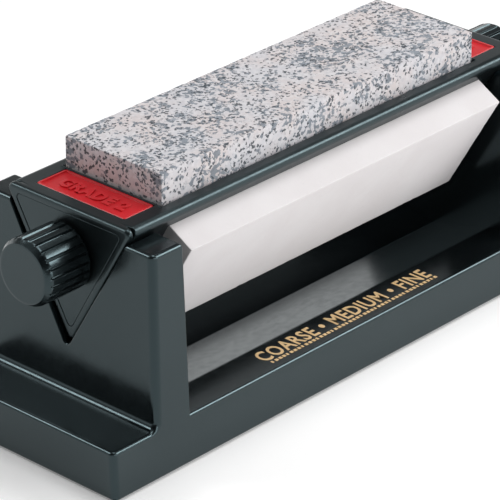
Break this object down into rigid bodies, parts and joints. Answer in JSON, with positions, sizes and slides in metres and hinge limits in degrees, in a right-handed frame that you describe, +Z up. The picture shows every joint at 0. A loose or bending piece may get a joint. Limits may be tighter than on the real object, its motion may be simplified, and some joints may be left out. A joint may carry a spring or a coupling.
{
  "type": "honing guide",
  "caption": "Three-sided bench hone: a lift-out, turning stone holder with fluted knobs rests in the V-notched towers of a moulded trough base.",
  "frame": {"origin": "on the table, under the centre of the base", "axes": "+X along the stones towards the right knob, +Y to the rear, +Z up"},
  "size_m": [0.2372, 0.0818, 0.0931],
  "materials": {
    "black_plastic": "semi-gloss black moulding",
    "foot_rubber": "matt black rubber",
    "medium_stone": "mottled pinkish-white novaculite with grey specks",
    "fine_stone": "smooth off-white novaculite",
    "coarse_stone": "open-grained dark grey synthetic stone",
    "bond_pad": "set adhesive",
    "red_label": "satin red",
    "rod_steel": "zinc-plated steel",
    "insert_brass": "turned brass"
  },
  "bodies": {
    "base": {"base_shell": "black_plastic", "foot_front_left": "foot_rubber", "foot_front_right": "foot_rubber", "foot_rear_left": "foot_rubber", "foot_rear_right": "foot_rubber"},
    "spindle": {"tie_rod": "rod_steel"},
    "holder": {"holder_core": "black_plastic", "end_plate_left": "black_plastic", "end_plate_right": "black_plastic", "stone_medium": "medium_stone", "stone_fine": "fine_stone", "stone_coarse": "coarse_stone", "bond_medium": "bond_pad", "bond_fine": "bond_pad", "bond_coarse": "bond_pad", "label_left": "red_label", "label_right": "red_label", "knob_left": "black_plastic", "knob_right": "black_plastic", "insert_left": "insert_brass", "insert_right": "insert_brass", "washer_left": "rod_steel", "washer_right": "rod_steel"}
  },
  "joints": [
    {"name": "holder_lift", "type": "slide", "parent": "base", "child": "spindle", "axis": [0, 0, 1], "range_m": [0, 0.126]},
    {"name": "holder_turn", "type": "hinge", "parent": "spindle", "child": "holder", "pos_m": [0, 0, 0.06605], "axis": [1, 0, 0], "range_deg": [0, 120]}
  ],
  "couplings": [
    {"joint": "holder_turn", "follows": "holder_lift", "rad_per_m": 16.622}
  ]
}
